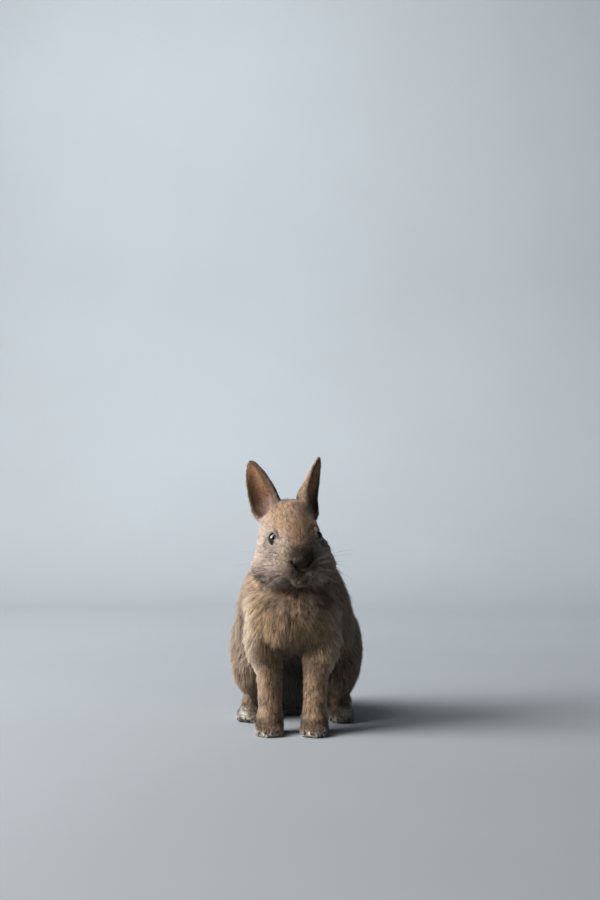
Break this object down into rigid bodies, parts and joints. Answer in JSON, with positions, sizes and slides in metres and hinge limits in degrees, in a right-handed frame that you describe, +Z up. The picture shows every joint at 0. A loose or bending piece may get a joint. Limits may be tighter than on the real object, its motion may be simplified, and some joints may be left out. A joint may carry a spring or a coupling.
{
  "type": "rabbit",
  "caption": "Life-size still model of a small brown rabbit sitting upright, with raised ears and its head turned slightly, resting on four flat soles.",
  "frame": {"origin": "on the floor under the middle of the rabbit's bounding box", "axes": "+Z up; the body faces -Y and its left side is +X; the head turns a little to +X"},
  "size_m": [0.1498, 0.2516, 0.2842],
  "materials": {
    "coat": "agouti fur, grey-brown with tan and dark ticking",
    "ear": "short fur outside, thin pinkish brown skin inside",
    "paw": "short fur with pale toe tips",
    "eye": "wet gloss, very dark brown",
    "claw": "smooth horn"
  },
  "bodies": {
    "root": {"claw_forepaw_left_1": "claw", "claw_forepaw_left_2": "claw", "claw_forepaw_left_3": "claw", "claw_forepaw_left_4": "claw", "claw_forepaw_right_1": "claw", "claw_forepaw_right_2": "claw", "claw_forepaw_right_3": "claw", "claw_forepaw_right_4": "claw", "claw_hindfoot_left_1": "claw", "claw_hindfoot_left_2": "claw", "claw_hindfoot_left_3": "claw", "claw_hindfoot_left_4": "claw", "claw_hindfoot_right_1": "claw", "claw_hindfoot_right_2": "claw", "claw_hindfoot_right_3": "claw", "claw_hindfoot_right_4": "claw", "ear_left": "ear", "ear_right": "ear", "eye_left": "eye", "eye_right": "eye", "foreleg_left": "coat", "foreleg_right": "coat", "forepaw_left": "paw", "forepaw_right": "paw", "haunch_left": "coat", "haunch_right": "coat", "head": "coat", "hindfoot_left": "paw", "hindfoot_right": "paw", "neck": "coat", "tail": "coat", "trunk": "coat"}
  },
  "joints": []
}
